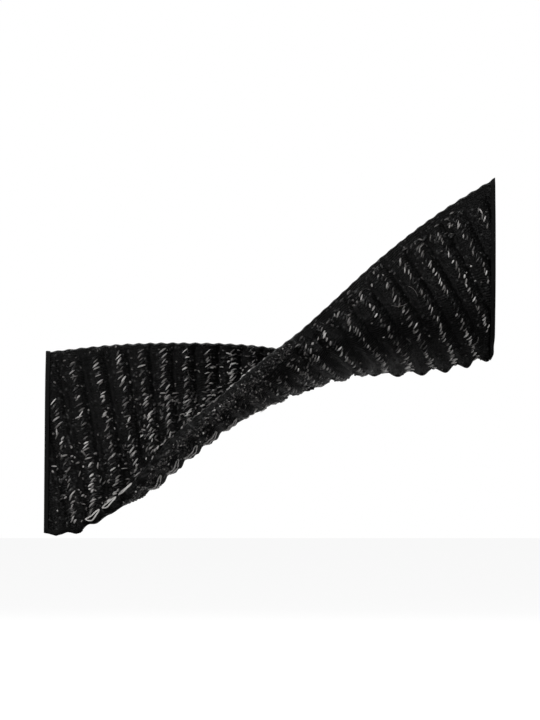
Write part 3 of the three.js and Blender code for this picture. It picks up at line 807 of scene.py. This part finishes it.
def finish_clip():
    plated = steel_material("nickel_plated_steel", (0.66, 0.64, 0.62), 0.44, 0.4)
    spring = steel_material("spring_steel_dark", (0.42, 0.41, 0.4), 0.34, 0.35)
    rubber = rubber_material()
    for node in ("clip_base_plate", "clip_jaw", "clip_hinge_pin"):
        finish_cad_part(node, plated, 0.09)
    for node in ("clip_base_grip", "clip_jaw_grip"):
        finish_cad_part(node, rubber, 0.14)
    bpy.data.objects["clip_spring"].data.materials.clear()
    bpy.data.objects["clip_spring"].data.materials.append(spring)


# ---------------------------------------------------------------- yarn that shows as threads with painted highlights
def float_lines(rib, across, face, slant, length, sag=0.18):
    """Short bowed threads on a face: slant is the angle of each one's line from along the band."""
    t = np.linspace(-0.5, 0.5, 6)
    rib, across, slant, length = (np.asarray(x, float)[:, None] for x in (rib, across, slant, length))
    ribs = rib + t * length * np.cos(slant) / RIB_PITCH
    shares = across + t * length * np.sin(slant) / BAND_WIDTH
    ends = relief(ribs[:, [0, -1]], shares[:, [0, -1]], face).mean(1, keepdims=True)
    return on_band(ribs, shares, face * (ends + sag * (1 - (2 * t) ** 2)) + wave(ribs, shares))


def float_radii(count, rng):
    t = np.linspace(-0.5, 0.5, 6)
    return rng.uniform(0.6, 1.2, (count, 1)) * FILAMENT_RADIUS * np.sqrt(1 - (1.8 * t) ** 2)


def slant_at(rib, across, face):
    """The floats' angle from along the band, towards the front selvedge."""
    if face < 0:
        return np.interp(rib, [0, 10, 14, 22], [-0.75, -0.65, 0.5, 0.8])
    return np.interp(rib, [11, 15, 19, 22], [0.35, 0.42, 0.6, 0.75]) + 0.4 * (across - 0.4)


def inside_cuts(rib, across):
    points = middle(rib, across)
    edge = 2.2
    return (np.abs(points[..., 0]) < WINGSPAN / 2 - edge) & (points[..., 2] > edge - CORNER_DROP)


def in_ribbed_part(rib, across, face):
    """Whether a place is in the ribbed stretch of the face that shows, clear of its plain borders."""
    start = (back_border(rib) + 0.5) / BAND_WIDTH
    end = 1 - (front_border(rib, face) + 0.4) / BAND_WIDTH
    on_lap = (face > 0) & (rib < 10.6) & (across > 0.5)
    return (across > start) & (across < end) & ~on_lap & inside_cuts(rib, across)


def clustered(rib, across):
    """A smooth share from 0 to 1 that makes the painted highlight of stretches of a row of floats bright and
    others dim.
    """
    return 0.5 + 0.25 * np.sin(rib * 2.3 + across * 9) + 0.25 * np.sin(rib * 5.1 - across * 17 + 2)


def rows_of_floats(rng, face):
    """Slanting floats in a row at every rib of a face, as (lines, painted highlight levels). The rows lie on
    the tops of the ridges, half a rib from the face's valleys."""
    count = int(BAND_WIDTH / FILAMENT_SPACING)
    first = 0 if face < 0 else 0.5
    grid = np.meshgrid(np.arange(first, FLOAT_ROWS_END), np.arange(count), indexing="ij")
    row, k = (x.ravel() for x in grid)
    across = (k + 0.5 + rng.uniform(-0.3, 0.3, len(k))) / count
    rib = row + rng.normal(0, 0.055, len(k))
    kept = in_ribbed_part(rib, across, face)
    rib, across = rib[kept], across[kept]
    slant = slant_at(rib, across, face) + rng.normal(0, 0.22, len(rib))
    length = rng.uniform(1.2, 2.4, len(rib)) * (1 - 0.2 * (face > 0))
    # painted light: floats at the right wing's lower ends, near the back selvedge, get a brighter painted
    # highlight
    lower_ends_painted_light = (1 - smoothstep(across, 0.1, 0.4)) * (face > 0)
    # painted highlight level: random, brighter and dimmer in stretches, and raised at those lower ends
    painted_glint = rng.normal(0.46, 0.22, len(rib)) + 0.26 * clustered(rib, across) + 0.3 * lower_ends_painted_light
    return float_lines(rib, across, face, slant, length), np.clip(painted_glint, 0, 1)


def loose_floats(rng, face, ribs, shares, count, slant, spread, painted_glint_level, lengths=(0.7, 1.9), sag=0.1):
    """Floats scattered over a patch of a face, on its ridges too."""
    rib = rng.uniform(*ribs, count)
    across = rng.uniform(*shares, count)
    kept = inside_cuts(rib, across)
    rib, across = rib[kept], across[kept]
    slants = rng.normal(slant, spread, len(rib))
    lines = float_lines(rib, across, face, slants, rng.uniform(*lengths, len(rib)), sag)
    # their painted highlight level, spread about the given mean
    return lines, np.clip(rng.normal(painted_glint_level, 0.25, len(rib)), 0, 1)


def crease_floats(rng):
    """Threads that lie along the front selvedge where it crosses the left wing, mostly painted bright as a
    painted highlight streak along the crease.
    """
    count = 110
    rib = rng.uniform(6, 11.2, count)
    lines = float_lines(rib, 1 - rng.uniform(0.2, 2.0, count) / BAND_WIDTH, -1,
                        rng.normal(0.25, 0.5, count), rng.uniform(0.7, 1.9, count), 0.1)
    return lines, np.clip(rng.normal(0.6, 0.25, count), 0, 1)


def fold_across(rib):
    """Where the lap turns round its lower fold: the share at which the band is seen edge on."""
    shares = np.linspace(0.55, 0.99, 89)
    facing = normal(np.full(len(shares), rib), shares)[:, 1]
    return shares[np.abs(facing).argmin()]


def rim_loops():
    """A loop of thread, painted bright as a highlight, lies along the rim of each scallop of the lower left
    edge.
    """
    turn = np.linspace(0, 2 * math.pi, 33)
    rings = []
    for scallop in range(1, LOOPED_SCALLOPS + 1):
        at_edge = scallop <= EDGE_SCALLOPS
        face = -1 if at_edge else 1
        middle_share = 1 - 0.8 / BAND_WIDTH if at_edge else fold_across(scallop) + 3.9 / BAND_WIDTH
        half_height = 0.45 if at_edge else 0.75
        rib = scallop + 0.05 + 0.4 * np.cos(turn)
        share = middle_share + half_height * np.sin(turn) / BAND_WIDTH
        height = face * (relief(rib, share, face) + 0.12) + wave(rib, share)
        rings.append(on_band(rib, scalloped(rib, share), height))
    return np.array(rings)


def make_filaments(material):
    rng = np.random.default_rng(7)
    dots = (0.35, 0.8)
    groups = [
        rows_of_floats(rng, 1),
        rows_of_floats(rng, -1),
        loose_floats(rng, -1, (3.5, 9.8), (0.3, 0.95), 520, -0.6, 0.5, 0.5),
        loose_floats(rng, -1, (7, 11), (0.04, 0.5), 120, -0.2, 0.6, 0.5),
        loose_floats(rng, -1, (-0.5, 4), (0.6, 0.97), 130, -0.6, 0.5, 0.4),
        loose_floats(rng, 1, (9.5, 13.5), (0.3, 0.9), 130, 0.3, 0.8, 0.42),
        loose_floats(rng, 1, (13, 22), (0.82, 0.95), 110, 0.8, 0.8, 0.3),
        loose_floats(rng, -1, (-1, 10.5), (0.02, 0.98), 800, -0.6, 0.9, 0.36, dots),
        loose_floats(rng, 1, (10, 23), (0.02, 0.97), 260, 0.6, 0.9, 0.3, dots),
        loose_floats(rng, 1, (2.5, 11), (0.84, 0.99), 700, 0, 1, 0.3, (0.3, 0.7), 0),
        loose_floats(rng, 1, (2.5, 13), (0.93, 0.995), 600, 0, 1, 0.32, (0.3, 0.7), 0),
        crease_floats(rng),
    ]
    lines = np.concatenate([lines for lines, _ in groups])
    painted_glints = np.concatenate([painted_glints for _, painted_glints in groups])
    radii = float_radii(len(lines), rng)
    floats = thread_piece("valley_filaments", placed(lines), radii, material, painted_glints)
    loops = rim_loops()
    # painted highlight on the rim loops, a little dimmer from one scallop to the next
    rim_painted_glint = np.linspace(1, 0.75, len(loops))
    rings = thread_piece("rim_loops", placed(loops), 0.2, material, rim_painted_glint)
    return [floats, rings]


def make_stray_fibres(material):
    """A few hairs that stand off the knit, lighter in colour by a painted highlight."""
    rng = np.random.default_rng(11)
    t = np.linspace(-0.5, 0.5, 12)
    lines, painted_glints = [], []
    for _ in range(STRAY_FIBRES):
        face = rng.choice([-1, 1])
        rib, across, slant = rng.uniform(1, 21.5), rng.uniform(0.1, 0.9), rng.uniform(0, math.pi)
        length, bow = rng.uniform(2, 5), rng.uniform(-1.2, 1.2)
        ribs = rib + (t * length * math.cos(slant) - bow * (4 * t * t) * math.sin(slant)) / RIB_PITCH
        shares = across + (t * length * math.sin(slant) + bow * (4 * t * t) * math.cos(slant)) / BAND_WIDTH
        if not inside_cuts(rib, across):
            continue
        lines.append(on_band(ribs, shares, face * (HALF_THICKNESS + 0.05 + 0.25 * (1 - 4 * t * t))))
        # the hair's painted highlight level
        painted_glints.append(rng.uniform(0.3, 0.75))
    return thread_piece("stray_fibres", placed(lines), 0.045, material, np.array(painted_glints), 5)


# ---------------------------------------------------------------- stage, light and camera
def make_stage():
    """A pale floor under the tie, and a white studio that only the camera sees."""
    bpy.ops.mesh.primitive_plane_add(size=FLOOR_SIZE * MM, location=(0, 0, FLOOR_LEVEL * MM))
    floor = bpy.context.object
    floor.name = "floor"
    floor.data.materials.append(plain_material("floor_white", 0.9, 0.93))
    floor.visible_diffuse = False
    floor.visible_glossy = False
    floor.visible_shadow = False
    world = bpy.data.worlds.new("studio")
    bpy.context.scene.world = world
    world.use_nodes = True
    background = world.node_tree.nodes["Background"]
    background.inputs["Color"].default_value = (1, 1, 1, 1)
    background.inputs["Strength"].default_value = 1.0
    world.cycles_visibility.diffuse = False
    world.cycles_visibility.glossy = False


def add_light(name, place, aim, size, power):
    data = bpy.data.lights.new(name, "AREA")
    data.shape = "RECTANGLE"
    data.size, data.size_y = size
    data.energy = power
    light = bpy.data.objects.new(name, data)
    bpy.context.scene.collection.objects.link(light)
    light.location = place
    light.rotation_euler = (Vector(aim) - Vector(place)).to_track_quat("-Z", "Y").to_euler()


def make_lights():
    """Softboxes: three in front and four behind. Three of them stand below the floor, which casts no
    shadow."""
    add_light("key", (-0.45, -0.9, 1.0), (0, 0, 0), (0.35, 0.35), 11)
    add_light("fill", (0.9, -1.1, -0.1), (0, 0, 0), (0.6, 0.6), 4)
    add_light("low", (-0.1, -1.0, -0.8), (0, 0, 0), (0.6, 0.4), 1.6)
    add_light("back", (0.4, 1.1, 1.0), (0, 0, 0), (1.2, 1.0), 12)
    add_light("back_left", (-1.1, 1.0, 0.4), (0, 0, 0), (1.0, 1.0), 8)
    add_light("back_low", (0.3, 1.2, -0.5), (0, 0, 0), (1.2, 0.8), 2.5)
    add_light("under_back", (0.1, 0.8, -1.2), (0, 0, 0), (1.2, 1.2), 1.8)


def make_camera():
    """A long lens, square on to the front. The picture is PICTURE_HEIGHT high at the band's middle."""
    data = bpy.data.cameras.new("camera")
    data.sensor_width = 36
    data.lens = data.sensor_width * CAMERA_DISTANCE / PICTURE_HEIGHT
    data.clip_start, data.clip_end = 0.1, 20
    camera = bpy.data.objects.new("camera", data)
    bpy.context.scene.collection.objects.link(camera)
    centre = placed(np.array([0, 0, PICTURE_CENTRE]))
    camera.location = (centre[0], centre[1] - CAMERA_DISTANCE * MM, centre[2])
    camera.rotation_euler = (math.pi / 2, 0, 0)
    bpy.context.scene.camera = camera


# ---------------------------------------------------------------- the scene
make_camera()
make_stage()
make_lights()
bpy.context.scene.view_settings.view_transform = "Standard"

knit = knit_material()
filament = filament_material()
thread = thread_material()
tape = woven_material("binding_tape_black", dark=(0.003, 0.003, 0.003), light=(0.007, 0.007, 0.007),
                      thread_pitch=0.5, twill=0.0, roughness=0.8, sheen=0.0)
stiffener = woven_material("interlining_grey", dark=(0.03, 0.03, 0.033), light=(0.07, 0.07, 0.075),
                           thread_pitch=0.9, twill=0.0, roughness=0.9, sheen=0.0)
twill = woven_material("backing_twill_black", dark=(0.006, 0.006, 0.007), light=(0.017, 0.017, 0.019),
                       thread_pitch=0.7, twill=1.4, roughness=0.7, sheen=0.05)

band = make_band(knit)
yarn = make_filaments(filament) + [make_stray_fibres(filament)]
tapes = [make_binding(side, tape) for side in (-1, 1)]
stiffening = make_interlining(stiffener)
patch = make_patch(twill)
patch_stitches = make_patch_stitches(thread)
make_felt_pad(felt_material())
for side in (-1, 1):
    make_plate_threads(side, thread)
finish_clip()

band_length, mean_length = flat_lengths()
